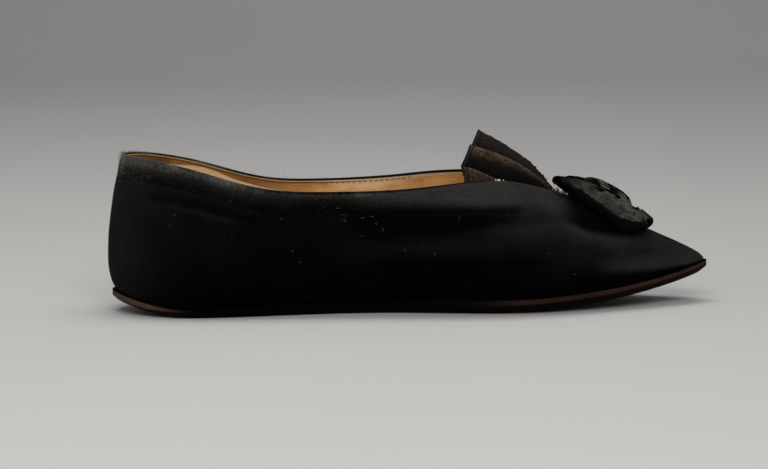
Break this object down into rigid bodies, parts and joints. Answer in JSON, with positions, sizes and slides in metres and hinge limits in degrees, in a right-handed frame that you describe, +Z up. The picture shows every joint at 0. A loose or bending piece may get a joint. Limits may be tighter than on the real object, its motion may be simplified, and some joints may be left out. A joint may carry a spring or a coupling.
{
  "type": "flat cloth slipper",
  "caption": "Flat black cloth slipper with a pointed toe, thin leather sole, pale lining, a pleated ribbon fan standing in the throat and a ribbon bow on the vamp.",
  "frame": {"origin": "on the floor under the middle of the slipper's length and width", "axes": "+X from the heel to the toe, +Y to the wearer's left, +Z up"},
  "size_m": [0.2418, 0.0686, 0.0706],
  "materials": {
    "sole_leather": "worn red-brown sole leather",
    "black_cloth": "worn matt black woollen cloth",
    "pale_kid": "smooth tan kid",
    "brown_ribbon": "ribbed ribbon, faded from black to brown",
    "black_ribbon": "black silk ribbon with a dull sheen"
  },
  "bodies": {
    "root": {"outsole": "sole_leather", "upper": "black_cloth", "insole": "pale_kid", "throat_fan": "brown_ribbon", "bow_loop_left": "black_ribbon", "bow_loop_right": "black_ribbon", "bow_knot": "black_ribbon"}
  },
  "joints": []
}
